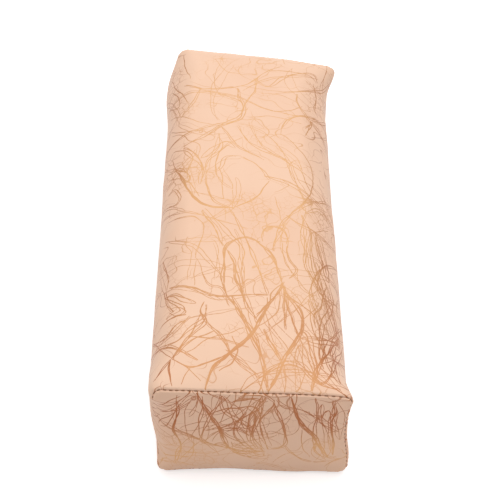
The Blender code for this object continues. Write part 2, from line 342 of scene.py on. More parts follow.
def foam_rows():
    """The foam block: pressed back at its rim by the allowances, and filling each panel in its middle."""
    rim_face = FLANGE_FACE + FOAM_SKIN
    pad = front_row(HEM_END + LEATHER, FOAM_SKIN, COARSE, groove=False)
    front = [face_row(pad, (i + 0.5) / FOAM_RINGS) for i in range(FOAM_RINGS)]
    front.append(front_row(HEM_END + LEATHER, rim_face, COARSE, groove=False))
    front.append(front_row(FOAM_SKIN, rim_face, COARSE, groove=False))
    for share in FOAM_ROWS:
        front.append(front_row(FOAM_SKIN, rim_face + PULL_IN * share, COARSE, groove=False))
    return front + mirrored(front)


def seat_height(fold_r, gap):
    """How far a stitch's middle stands above the line through the centres of the folds beside it."""
    reach = fold_r + THREAD_D / 2
    return math.sqrt(reach**2 - (fold_r + gap / 2) ** 2)


class SeamLine:
    """The line of the end seam: where its stitches lie, which way is out and how far along that is."""

    def __init__(self):
        seat = (FOLD_R + FOLD_SETBACK) / 2 - seat_height(FOLD_R, SEAM_GAP) / math.sqrt(2)
        self.points = front_row(seat, seat, groove=False)
        outer = front_row(seat - MM, seat - MM, groove=False)
        self.out = (outer - self.points) / np.linalg.norm(outer - self.points, axis=1)[:, None]
        steps = np.linalg.norm(np.roll(self.points, -1, 0) - self.points, axis=1)
        self.length = steps.sum()
        self.count = round(self.length / STITCH_PITCH)
        self.pitch = self.length / self.count
        self.along = np.concatenate([[0.0], np.cumsum(steps)[:-1]])
        self.strength = RNG.uniform(*STITCH_PULL, self.count + 1)

    def at(self, along):
        """The place and the outward direction at this distance along the seam."""
        stops = np.append(self.along, self.length)
        rows = np.concatenate([self.points, self.out], 1)
        columns = np.concatenate([rows, rows[:1]]).T
        found = np.array([np.interp(along, stops, column) for column in columns])
        return found[:3], found[3:]


SEAM = SeamLine()


def puckered(points):
    """Points of the square form, drawn in beside each stitch of the nearest end seam."""
    moved = points.copy()
    near = np.flatnonzero(np.abs(points[:, 1]) > END_PLANE - 4 * PUCKER_REACH)
    close = points[near] * [1, -1, 1]
    close[:, 1] = -np.abs(close[:, 1])
    for start in range(0, len(near), PUCKER_BATCH):
        rows = near[start : start + PUCKER_BATCH]
        batch = close[start : start + PUCKER_BATCH]
        away = np.linalg.norm(batch[:, None] - SEAM.points[None], axis=2)
        nearest = away.argmin(1)
        distance = away.min(1)
        along = SEAM.along[nearest] / SEAM.pitch
        strength = np.interp(along, np.arange(SEAM.count + 1) + 0.5, SEAM.strength)
        wave = 0.5 - 0.5 * np.cos(2 * math.pi * along)
        depth = PUCKER * strength * wave * np.exp(-((distance / PUCKER_REACH) ** 1.5))
        push = -SEAM.out[nearest] * depth[:, None]
        push[:, 1] *= -np.sign(points[rows, 1])
        moved[rows] += push
    return moved


def bump_at(points, place, reach):
    """A smooth bump of height 1 round a place, for soft local moves."""
    away = ((points - np.array(place) * MM) / (np.array(reach) * MM)) ** 2
    return np.exp(-away.sum(1))[:, None]


class Stuffing:
    """How far the stuffing moves the cover's cloth, from a simulation of a coarse cover under pressure."""

    def __init__(self):
        self.tree = None
        self.simulate()

    def simulate(self):
        """Blows up a coarse cover whose seams and base are held, and keeps how far each point went."""
        rim = front_row(FOLD_SETBACK, 0.0, STUFFED_STEPS, groove=False)
        face = [face_row(rim, share) for share in STUFFED_RINGS]
        count = round((END_PLANE - FOLD_SETBACK) / STUFFED_ROW)
        setbacks = np.linspace(FOLD_SETBACK, END_PLANE, count, endpoint=False)
        body = [front_row(0.0, setback, STUFFED_STEPS, groove=False) for setback in setbacks]
        front = face + [rim] + body
        middle = front_row(0.0, END_PLANE, STUFFED_STEPS, groove=False)
        points, faces = capped(front + [middle] + mirrored(front))
        cover = mesh_piece("stuffed_cover", points, faces, None)
        rear_rim = 2 * len(front) - len(face)
        held = np.flatnonzero(points[:, 2] < HELD_BELOW).tolist()
        for row in (len(face), len(face) + 1, rear_rim - 1, rear_rim):
            held += range(row * len(rim), (row + 1) * len(rim))
        cover.vertex_groups.new(name="held").add(sorted(set(held)), 1.0, "REPLACE")
        slack = cover.vertex_groups.new(name="slack")
        for i, share in enumerate(RNG.uniform(0, 1, len(points))):
            slack.add([i], float(share), "REPLACE")
        cloth = cover.modifiers.new("stuffing", "CLOTH").settings
        for name, value in STUFFED_CLOTH.items():
            setattr(cloth, name, value)
        cloth.effector_weights.gravity = 0.0
        scene = bpy.context.scene
        for number in range(1, STUFFED_FRAMES + 1):
            scene.frame_set(number)
        result = cover.evaluated_get(bpy.context.evaluated_depsgraph_get()).to_mesh()
        moves = vectors(result.vertices, "co") - points
        scene.frame_set(1)
        bpy.data.objects.remove(cover)
        size = np.linalg.norm(moves, axis=1)[:, None]
        self.moves = moves * np.tanh(size / MOST_STUFFED) * MOST_STUFFED / np.maximum(size, 1e-9)
        self.tree = KDTree(len(points))
        for i, point in enumerate(points):
            self.tree.insert(point, i)
        self.tree.balance()

    def moved(self, points):
        """The moves of the nearest points of the coarse cover, blended."""
        if self.tree is None:
            return np.zeros_like(points)
        carried = np.empty_like(points)
        for row, point in enumerate(points):
            found = self.tree.find_n(point, CARRIED_BY)
            distance = np.array([entry[2] for entry in found])
            weight = np.exp(-((distance / CARRY_REACH) ** 2)) + 1e-6
            carried[row] = weight @ self.moves[[entry[1] for entry in found]] / weight.sum()
        return carried


def settled(points):
    """Where points of the square form lie in the rest as it was sewn and stuffed."""
    moved = points + STUFFING.moved(points)
    x, y, z = points.T
    rolled = np.exp(-(((x - ROLLED_EDGE) / ROLL_REACH) ** 2)) * eased(1 - (END_PLANE + y) / (3 * ROLL_BACK))
    rise = eased((z - ROLL_FADES[0]) / (ROLL_FADES[1] - ROLL_FADES[0]))
    fall = eased((z - ROLL_FADES[2]) / (ROLL_FADES[3] - ROLL_FADES[2]))
    moved[:, 1] += ROLL_BACK * rolled * (rise - fall)
    moved[:, 0] += BODY_SHIFT * eased((END_PLANE - np.abs(y)) / (2 * PULL_IN))
    up = z / BODY_HEIGHT
    slant = eased(1 - (END_PLANE - y) / REAR_SLANT_REACH)
    moved[:, 1] -= REAR_SLANT * x * slant
    front = eased(1 - (END_PLANE + y) / LEAN_REACH)
    rear = eased(1 - (END_PLANE - y) / LEAN_REACH)
    lean = LEAN_MIDDLE + (LEAN_FRONT - LEAN_MIDDLE) * front + (LEAN_REAR - LEAN_MIDDLE) * rear
    moved[:, 2] -= lean * x * up
    moved[:, 0] += REAR_SHIFT * up * eased(1 - (END_PLANE - y) / REAR_SHIFT_REACH)
    moved[:, 0] += FRONT_SHIFT * eased(1 - (END_PLANE + y) / FRONT_SHIFT_REACH)
    for place, reach, move in SOFT_CORNERS:
        moved += bump_at(points, place, reach) * np.array(move) * MM
    return moved


def grid_faces(row_count, column_count, closed):
    """Quads between rings of equal length."""
    rows = np.arange(row_count if closed else row_count - 1)
    below, column = np.meshgrid(rows * column_count, np.arange(column_count), indexing="ij")
    above = (below + column_count) % (row_count * column_count)
    beside = (column + 1) % column_count
    quads = np.stack([below + column, below + beside, above + beside, above + column], -1)
    return quads.reshape(-1, 4).tolist()


def capped(rows):
    """Points and faces of a solid skinned over rings, with a fan at both ends."""
    count = len(rows[0])
    points = np.concatenate(rows + [rows[0].mean(0)[None], rows[-1].mean(0)[None]])
    faces = grid_faces(len(rows), count, False)
    last = (len(rows) - 1) * count
    for start, middle in ((0, len(points) - 2), (last, len(points) - 1)):
        faces += [(start + i, start + (i + 1) % count, middle) for i in range(count)]
    return points, faces


def vectors(items, name):
    """A vector of each of a mesh's items, as rows."""
    held = np.empty(len(items) * 3, np.float32)
    items.foreach_get(name, held)
    return held.reshape(-1, 3)


def new_object(name, data):
    """A new object with this data, in the scene."""
    made = bpy.data.objects.new(name, data)
    bpy.context.scene.collection.objects.link(made)
    return made


def mesh_piece(name, points, faces, material):
    """A new object with this mesh, its faces turned outwards and shaded smooth."""
    mesh = bpy.data.meshes.new(name)
    mesh.from_pydata(points.tolist(), [], faces)
    builder = bmesh.new()
    builder.from_mesh(mesh)
    bmesh.ops.recalc_face_normals(builder, faces=builder.faces)
    builder.to_mesh(mesh)
    builder.free()
    mesh.shade_smooth()
    mesh.materials.append(material)
    return new_object(name, mesh)


STUFFING = Stuffing()


def camera_axes():
    """The camera's rightward, upward and forward directions."""
    forward = np.array([
        math.sin(CAMERA_YAW) * math.cos(CAMERA_ELEVATION),
        math.cos(CAMERA_YAW) * math.cos(CAMERA_ELEVATION),
        -math.sin(CAMERA_ELEVATION),
    ])
    level = np.array([math.cos(CAMERA_YAW), -math.sin(CAMERA_YAW), 0.0])
    upright = np.cross(level, forward)
    right = level * math.cos(CAMERA_ROLL) + upright * math.sin(CAMERA_ROLL)
    top = upright * math.cos(CAMERA_ROLL) - level * math.sin(CAMERA_ROLL)
    return right, top, forward


def in_picture(points):
    """Where these points come in the picture, in its pixels from the top left corner."""
    right, top, forward = camera_axes()
    away = points - CAMERA_PLACE
    depth = away @ forward
    half = FRAME_PIXELS / 2
    column = half + FOCAL_PIXELS * (away @ right) / depth
    row = half - FOCAL_PIXELS * (away @ top) / depth
    return np.stack([column, row], 1)


def make_camera():
    """The camera, at the place from which the rest is seen."""
    data = bpy.data.cameras.new("camera")
    data.sensor_width = SENSOR
    data.lens = FOCAL_PIXELS / FRAME_PIXELS * SENSOR
    data.clip_start = NEAREST_SEEN
    data.clip_end = FARTHEST_SEEN
    camera = new_object("camera", data)
    bpy.context.scene.camera = camera
    right, top, forward = camera_axes()
    turn = Matrix(np.stack([right, top, -forward], 1).tolist()).to_4x4()
    turn.translation = CAMERA_PLACE.tolist()
    camera.matrix_world = turn


# The foil print. Each strand is a smooth line on the flat sheet with a width that tapers. The sheet's
# points hold, in layers, the offset to the nearest strand over its half width, so a strand lies where
# the offset is shorter than 1. Strands that would meet in one layer go into different ones.
STRAND_LAYERS = 36
STRAND_REACH = 1.45 * MM
STRAND_ROOM = 1.45 * MM
STRAND_BOLDNESS = 0.62
STRAND_FINEST = 0.09 * MM
STRAND_WIDTHS = (0.75, 1.2)
# Where on its guide a strand starts and ends: the least and the greatest shares of the way
STRAND_SHARES = ((-0.3, 0.85), (0.15, 1.3))
# The waves of a strand beside its guide: length and height
STRAND_WAVES = ((26 * MM, 0.45 * MM), (10 * MM, 0.14 * MM))
FAR = 12.0
LINE_STEP = 1.3 * MM
LINE_CURVE = 30 * MM
PIECE_STEPS = 16
LEAST_FACING = 0.02

# Where the foil's painted shade (copper) turns to painted reflected light (golden): along the wrap, out to
# its long edges, and up an end panel
LIT_FOIL_FRONT = 120 * MM
LIT_FOIL_FRONT_FADE = 80 * MM
SHADED_FOIL_EDGE = 28 * MM
SHADED_FOIL_EDGE_FADE = 18 * MM
SHADED_FOIL_TOP = 40 * MM
SHADED_FOIL_TOP_FADE = 22 * MM

# Loose bundles: how many, their length, strands in each, spread and half width, lengths in millimetres
SIDE_SCATTER = ((45, 90, 3, 1.2, 0.26), (50, 60, 2, 2.5, 0.17))
TOP_SCATTER = ((14, 110, 2, 2.2, 0.2), (30, 60, 2, 2.0, 0.14))
REAR_SCATTER = ((14, 80, 4, 1.2, 0.3),)
PANEL_SCATTER = ((24, 50, 2, 2.5, 0.17),)
TOP_EDGE = 58 * MM


def curve_through(points, step):
    """A smooth line through these points, as points about a step apart."""
    points = np.asarray(points, float)
    ends = (2 * points[:1] - points[1:2], 2 * points[-1:] - points[-2:-1])
    points = np.concatenate([ends[0], points, ends[1]])
    line = []
    for a, b, c, d in zip(points, points[1:], points[2:], points[3:]):
        count = max(2, int(np.linalg.norm(c - b) / step) + 1)
        t = np.arange(count)[:, None] / count
        bend = (2 * a - 5 * b + 4 * c - d) * t**2 + (3 * b - a - 3 * c + d) * t**3
        line.append(0.5 * (2 * b + (c - a) * t + bend))
    return np.concatenate(line + [points[-2:-1]])


class FoilPrint:
    """The strands printed on one piece of cloth."""

    def __init__(self, name, places):
        self.name = name
        self.places = places
        self.layers = np.zeros((STRAND_LAYERS, len(places), 3), np.float32)
        self.layers[:, :, 2] = FAR
        self.taken = np.zeros((STRAND_LAYERS, len(places)), bool)

    def strand(self, line, half_widths):
        """Prints one strand, cut into short lengths that overlap by a point."""
        for start in range(0, len(line) - 1, PIECE_STEPS):
            end = start + PIECE_STEPS + 1
            self.piece(line[start:end], half_widths[start:end])

    def piece(self, line, half_widths):
        """Prints a short length in the first layer with room for it."""
        room = STRAND_REACH + STRAND_ROOM + half_widths.max()
        low = line.min(0) - room
        high = line.max(0) + room
        near = np.flatnonzero(((self.places > low) & (self.places < high)).all(1))
        if len(near) == 0:
            return
        offset, distance, half = self.offsets(self.places[near], line, half_widths)
        checked = near[distance < STRAND_REACH + STRAND_ROOM + half]
        written = distance < STRAND_REACH + half
        free = ~self.taken[:, checked].any(1)
        if not free.any():
            return
        layer = int(free.argmax())
        self.layers[layer, near[written], :2] = offset[written] / half[written, None]
        self.layers[layer, near[written], 2] = 0.0
        self.taken[layer, near[written]] = True

    def offsets(self, places, line, half_widths):
        """From each place the offset and distance to the line, and the half width there."""
        start = line[:-1]
        step = line[1:] - start
        away = places[:, None] - start[None]
        share = np.clip((away * step).sum(2) / np.maximum((step**2).sum(1), 1e-12), 0.0, 1.0)
        offset = away - share[:, :, None] * step[None]
        distance = np.linalg.norm(offset, axis=2)
        nearest = distance.argmin(1)
        rows = np.arange(len(places))
        share = share[rows, nearest]
        half = half_widths[nearest] * (1 - share) + half_widths[nearest + 1] * share
        return offset[rows, nearest], distance[rows, nearest], half

    def bundle(self, guide, count, spread, half_width):
        """Prints strands that run along a guide, part at places and meet again."""
        for _ in range(count):
            first, last = np.clip(RNG.uniform(*STRAND_SHARES), 0.0, 1.0)
            begin = int(first * (len(guide) - 1))
            line = guide[begin : max(int(last * (len(guide) - 1)) + 1, begin + 3)]
            share = np.linspace(0, 1, len(line))
            heading = np.gradient(line, axis=0)
            steps = np.linalg.norm(heading, axis=1)
            side = heading[:, ::-1] * [1, -1] / np.maximum(steps, 1e-9)[:, None]
            length = steps.sum()
            start, end = RNG.uniform(-1, 1, 2) * spread
            parted = np.clip(np.sin(math.pi * share), 0.0, 1.0) ** 0.7
            drift = (start * (1 - share) + end * share) * parted * 2.0
            for wave, height in STRAND_WAVES:
                phase = RNG.uniform(0, 2 * math.pi)
                drift = drift + height * np.sin(2 * math.pi * share * length / wave + phase)
            taper = 0.6 + 0.4 * parted
            widths = (STRAND_FINEST + STRAND_BOLDNESS * half_width) * RNG.uniform(*STRAND_WIDTHS) * taper
            self.strand(line + side * drift[:, None], widths)

    def write(self, mesh):
        """Stores the print on the mesh. Points beyond those of the sheet, if any, hold no strand."""
        extra = len(mesh.vertices) - len(self.places)
        rest = np.tile(np.array([0, 0, FAR], np.float32), (extra, 1))
        for i, layer in enumerate(self.layers):
            held = mesh.attributes.new(f"strands_{i}", "FLOAT_VECTOR", "POINT")
            held.data.foreach_set("vector", np.concatenate([layer, rest]).ravel())
        places = np.concatenate([self.places, np.zeros((extra, 2))])
        places = np.concatenate([places, np.zeros((len(places), 1))], 1).astype(np.float32)
        held = mesh.attributes.new("sheet_place", "FLOAT_VECTOR", "POINT")
        held.data.foreach_set("vector", places.ravel())
        # The foil's painted shade and painted reflected light, as a share from copper to a golden tone
        held = mesh.attributes.new("foil_painted_light_share", "FLOAT", "POINT")
        held.data.foreach_set("value", np.concatenate([self.painted_light_share(), np.zeros(extra)]).astype(np.float32))

    def painted_light_share(self):
        """How golden the foil is painted, as painted reflected light against painted shade: less at the
        front, least at the long edges and high on the ends.
        """
        across, along = self.places.T
        if self.name == "wrap":
            middle = 0.55 + 0.45 * eased((along + LIT_FOIL_FRONT) / LIT_FOIL_FRONT_FADE)
            return middle * (1 - 0.8 * eased((np.abs(across) - SHADED_FOIL_EDGE) / SHADED_FOIL_EDGE_FADE))
        return 0.12 + 0.8 * eased((SHADED_FOIL_TOP - along) / SHADED_FOIL_TOP_FADE)


class SeenSheet:
    """The part of a piece that the camera sees, for finding where on the sheet a pixel lies."""

    def __init__(self, piece, places):
        points = vectors(piece.data.vertices, "co")[: len(places)]
        normals = vectors(piece.data.vertex_normals, "vector")[: len(places)]
        towards = ((CAMERA_PLACE - points) * normals).sum(1)
        facing = towards > LEAST_FACING * np.linalg.norm(CAMERA_PLACE)
        self.pixels = in_picture(points[facing])
        self.places = places[facing]

    def places_at(self, pixels):
        """The places on the sheet at these pixels."""
        found = []
        for pixel in np.asarray(pixels, float):
            away = np.linalg.norm(self.pixels - pixel, axis=1)
            nearest = np.argpartition(away, 4)[:4]
            weight = 1 / (away[nearest] + 0.05)
            found.append((self.places[nearest] * weight[:, None]).sum(0) / weight.sum())
        return np.array(found)


# The strands that can be seen: how many, how far they spread and half the width of one, in
# millimetres, and the pixels of the picture that their guide passes
WRAP_STRANDS = (
    (1, 0.3, 0.24, (184, 53), (184, 63), (190, 76), (188, 85)),
    (1, 0.3, 0.24, (210, 55), (220, 64), (227, 72), (239, 74), (258, 75)),
    (1, 0.3, 0.22, (220, 64), (216, 76), (215, 85), (222, 95), (238, 102)),
    (2, 0.6, 0.34, (184, 86), (201, 88), (226, 88), (242, 85), (256, 78), (271, 69), (290, 65)),
    (
        *(2, 0.6, 0.34, (189, 86), (207, 91), (229, 94), (239, 97)),
        *((256, 104), (275, 111), (290, 110), (302, 106)),
    ),
    (1, 0.4, 0.3, (239, 86), (261, 89), (290, 92), (321, 94)),
    (1, 0.4, 0.34, (261, 93), (278, 95), (290, 99), (298, 103)),
    (2, 0.8, 0.28, (243, 91), (258, 82), (275, 78), (295, 76), (318, 80)),
    (2, 1.5, 0.24, (254, 78), (268, 86), (285, 76), (312, 74), (318, 84)),
    (2, 1.5, 0.22, (263, 64), (264, 70), (290, 72), (312, 78), (318, 90)),
    (2, 0.8, 0.24, (297, 94), (299, 106), (309, 120), (321, 137), (327, 155)),
    (2, 0.6, 0.24, (313, 84), (316, 96), (314, 108), (318, 118)),
    (3, 1.0, 0.34, (238, 88), (239, 97), (244, 106), (239, 118), (220, 126), (204, 136), (184, 147)),
    (2, 1.2, 0.26, (258, 77), (257, 90), (248, 100), (242, 112)),
    (2, 0.6, 0.24, (276, 111), (297, 116), (320, 122)),
    (1, 0.3, 0.26, (248, 118), (265, 116), (284, 119), (306, 126)),
    (2, 0.8, 0.3, (222, 126), (233, 141), (249, 152), (264, 160)),
    (2, 0.8, 0.36, (238, 126), (249, 141), (265, 150), (284, 159), (303, 171), (314, 184)),
    (1, 0.3, 0.32, (269, 137), (279, 134), (293, 143), (307, 160), (313, 178), (312, 193)),
    (2, 1.0, 0.26, (247, 118), (260, 142), (272, 152), (288, 162), (292, 176), (303, 197), (306, 212)),
    (1, 0.3, 0.28, (172, 137), (182, 135), (188, 141), (200, 145), (198, 156)),
    (1, 0.3, 0.3, (170, 161), (175, 152), (187, 151), (192, 159), (187, 171), (178, 170), (171, 160)),
    (3, 0.8, 0.4, (174, 168), (184, 181), (193, 196), (205, 204), (219, 207), (234, 208)),
    (2, 0.5, 0.34, (234, 208), (247, 203), (260, 194), (270, 180)),
    (2, 0.6, 0.32, (242, 157), (256, 165), (270, 180)),
    (2, 0.8, 0.3, (207, 175), (206, 185), (214, 199), (229, 208)),
    (3, 3.0, 0.26, (184, 148), (198, 158), (205, 170), (200, 184)),
    (3, 3.0, 0.24, (201, 158), (214, 150), (227, 143), (236, 148)),
    (3, 3.0, 0.22, (219, 133), (217, 146), (208, 160), (206, 174)),
    (3, 3.5, 0.2, (205, 172), (216, 168), (226, 158), (242, 157)),
    (1, 0.3, 0.24, (224, 168), (232, 184), (235, 207)),
    (1, 0.3, 0.22, (218, 166), (222, 178), (223, 199)),
    (1, 0.3, 0.2, (274, 192), (278, 208), (281, 226)),
    (1, 0.3, 0.2, (274, 192), (285, 188), (289, 184), (276, 176)),
    (1, 0.3, 0.26, (317, 185), (322, 192), (326, 200)),
    (2, 0.8, 0.28, (314, 184), (310, 197), (304, 208), (312, 218)),
    (1, 0.3, 0.26, (300, 168), (306, 184), (314, 196)),
    (1, 0.3, 0.24, (171, 120), (200, 122), (220, 126)),
    (1, 0.3, 0.22, (171, 134), (190, 131), (216, 128)),
    (1, 0.3, 0.3, (171, 80), (180, 92), (188, 102)),
    (1, 0.3, 0.3, (169, 112), (178, 108), (180, 99), (172, 94)),
    (2, 0.8, 0.22, (201, 88), (192, 104), (181, 118)),
    (2, 1.0, 0.3, (168, 176), (180, 170), (190, 178), (184, 184)),
    (2, 0.8, 0.32, (168, 197), (175, 191), (181, 197), (177, 205), (169, 207)),
    (1, 0.3, 0.3, (167, 184), (176, 178), (190, 184), (200, 196)),
    (2, 0.8, 0.28, (305, 128), (312, 122), (306, 136)),
    (2, 1.0, 0.26, (309, 120), (318, 130), (326, 152)),
    (3, 1.0, 0.4, (224, 288), (222.5, 274), (224, 265), (225, 248), (232, 241), (245, 237.5), (260, 242)),
    (3, 1.0, 0.44, (256, 240), (271, 255), (279, 274), (283, 285)),
    (2, 0.8, 0.24, (228, 250), (235, 264), (237, 279), (245, 304)),
    (2, 0.8, 0.26, (262, 242), (263, 233), (270, 227), (282, 229.5), (287, 236), (287, 248)),
    (2, 0.8, 0.3, (287, 246), (290, 258), (296.6, 270), (292, 276.6), (284, 281)),
    (3, 1.2, 0.34, (283, 283), (270, 300), (255, 318)),
    (3, 1.5, 0.3, (284, 285), (284, 305), (286, 330)),
    (3, 1.5, 0.3, (283, 286), (296, 300), (314, 318)),
    (3, 1.0, 0.24, (202, 210), (215, 225), (224, 246)),
    (2, 1.0, 0.22, (167, 224), (181, 217), (196, 217), (206, 227), (198, 248), (196, 258)),
    (2, 1.0, 0.24, (196, 258), (209, 283), (222, 289), (230, 306)),
    (2, 1.0, 0.2, (165, 244), (188, 244), (199, 251), (209, 260), (220, 275)),
    (4, 1.5, 0.22, (169, 289), (191, 288), (215, 297), (268, 295)),
    (5, 2.5, 0.26, (302, 215), (308, 233), (308, 262), (314, 277), (325, 297), (339, 310)),
    (4, 2.5, 0.2, (315, 233), (324, 262), (328, 283)),
    (4, 1.0, 0.38, (232, 296), (248, 328), (260, 351), (266, 376), (268, 390)),
    (4, 1.0, 0.38, (272, 300), (248, 338), (229, 355), (215, 366), (206, 391)),
    (4, 1.0, 0.42, (283, 294), (300, 313), (299, 332), (281, 365), (269, 392)),
    (3, 1.0, 0.24, (265, 331), (281, 357), (286, 392)),
    (4, 1.2, 0.3, (258, 378), (277, 365), (290, 362), (303, 366), (320, 382), (340, 390)),
    (3, 1.5, 0.28, (299, 330), (309, 337), (317, 369), (313, 391)),
    (1, 0.3, 0.22, (171, 359), (162, 350), (152, 344)),
    (2, 0.8, 0.26, (171, 359), (190, 342), (214, 330)),
    (1, 0.3, 0.2, (171, 359), (186, 366), (200, 382)),
    (2, 0.6, 0.24, (171, 359), (160, 374), (152, 384)),
    (2, 0.5, 0.26, (171, 359), (170, 372), (172, 389)),
    (2, 0.8, 0.24, (202, 313), (191, 334), (172, 359)),
    (2, 0.6, 0.26, (153, 360), (176, 342), (189, 330), (204, 318), (206, 304)),
    (3, 0.8, 0.24, (201, 317), (223, 338), (234, 357), (261, 379)),
    (2, 0.6, 0.2, (191, 336), (223, 340), (250, 346)),
    (7, 5.0, 0.16, (322, 300), (330, 325), (338, 350)),
    (3, 2.0, 0.2, (300, 338), (318, 342), (339, 344)),
    (4, 3.0, 0.16, (300, 345), (302, 365), (296, 392)),
    (3, 2.0, 0.2, (240, 392), (262, 376), (300, 372), (336, 378)),
    (1, 0.3, 0.24, (196, 216), (190, 233), (187, 244), (191, 254), (188, 276), (184, 287)),
    (1, 0.3, 0.22, (196, 260), (194, 287)),
    (2, 0.8, 0.3, (229, 208), (236, 218), (243, 232), (248, 242), (257, 264), (264, 283), (268, 294)),
    (2, 1.5, 0.28, (205, 208), (216, 222), (228, 236), (238, 248), (238, 266), (242, 292)),
    (2, 0.8, 0.34, (225, 247), (233, 261), (237, 276), (242, 289), (248, 306), (257, 320)),
    (2, 0.8, 0.4, (221, 275), (228, 297), (239, 312), (251, 329), (260, 350), (265, 370)),
    (1, 0.4, 0.4, (267, 297), (265, 312), (258, 322), (250, 336), (229, 354), (215, 366), (211, 380)),
    (1, 0.3, 0.36, (284, 282), (272, 292), (267, 310)),
    (1, 0.3, 0.34, (279, 287), (279, 308), (265, 321), (253, 330)),
    (2, 0.8, 0.3, (284, 289), (288, 312), (297, 331), (304, 340)),
    (2, 0.6, 0.34, (264, 329), (270, 342), (280, 361)),
    (1, 0.3, 0.28, (298, 273), (299, 287), (313, 298), (314, 310)),
    (2, 0.8, 0.34, (308, 269), (316, 287), (326, 302), (329, 315), (338, 343)),
    (2, 1.0, 0.26, (327, 287), (320, 306), (314, 315), (316, 328)),
    (2, 1.0, 0.3, (329, 284), (334, 300), (331, 318)),
    (1, 0.3, 0.26, (304, 320), (313, 311), (320, 300)),
    (1, 0.3, 0.32, (313, 340), (326, 341), (338, 344)),
    (1, 0.3, 0.24, (202, 315), (221, 338), (232, 353), (247, 365)),
    (1, 0.3, 0.24, (192, 336), (221, 340), (241, 344)),
    (1, 0.4, 0.26, (175, 354), (192, 350), (211, 339), (229, 333), (244, 328)),
    (2, 0.8, 0.32, (205, 301), (200, 312), (205, 322), (188, 339), (172, 358)),
    (1, 0.3, 0.3, (169, 289), (192, 288), (206, 294), (223, 297), (267, 295)),
    (1, 0.3, 0.32, (169, 311), (178, 308), (186, 312), (178, 316), (169, 312)),
    (1, 0.4, 0.34, (219, 371), (232, 364), (237, 350), (232, 336)),
    (2, 0.5, 0.3, (172, 360), (188, 367), (204, 364), (221, 359), (232, 353)),
    (1, 0.3, 0.28, (190, 367), (184, 378), (180, 390)),
    (2, 1.2, 0.26, (300, 338), (303, 352), (308, 368), (322, 386)),
    (2, 1.0, 0.28, (273, 368), (262, 380), (258, 392)),
    (2, 0.8, 0.28, (330, 352), (334, 362), (326, 382), (314, 380), (318, 366), (334, 360)),
    (2, 1.2, 0.24, (337, 340), (330, 356), (342, 370)),
    (2, 1.5, 0.24, (306, 212), (300, 232), (306, 250), (304, 268)),
    (2, 1.5, 0.24, (312, 232), (318, 250), (324, 268), (328, 284)),
    (2, 1.0, 0.26, (305, 213), (318, 210), (329, 226)),
    (1, 0.3, 0.32, (310, 234), (318, 231), (328, 232)),
    (1, 0.3, 0.24, (262, 231), (268, 227), (282, 230), (272, 250)),
    (3, 3.0, 0.22, (165, 292), (174, 300), (182, 310), (166, 320)),
    (3, 2.5, 0.22, (153, 345), (166, 336), (182, 322), (190, 316)),
    (3, 2.0, 0.3, (316, 262), (326, 290), (334, 320), (340, 350)),
    (3, 2.5, 0.26, (308, 300), (318, 330), (330, 360), (340, 385)),
    (2, 1.5, 0.28, (334, 300), (324, 320), (318, 345), (324, 370)),
    (3, 2.0, 0.28, (340, 330), (330, 345), (322, 360), (312, 390)),
    (2, 1.0, 0.3, (342, 352), (336, 366), (340, 384)),
    (2, 1.0, 0.28, (322, 262), (316, 280), (322, 300), (333, 312)),
    (2, 1.0, 0.28, (163, 262), (169, 276), (167, 292)),
    (3, 1.5, 0.26, (164, 300), (174, 295), (186, 300), (196, 304)),
    (2, 1.0, 0.28, (160, 330), (172, 318), (186, 314)),
    (2, 1.0, 0.28, (156, 350), (166, 338), (176, 325), (189, 318)),
    (2, 1.0, 0.26, (320, 160), (326, 180), (328, 200)),
)
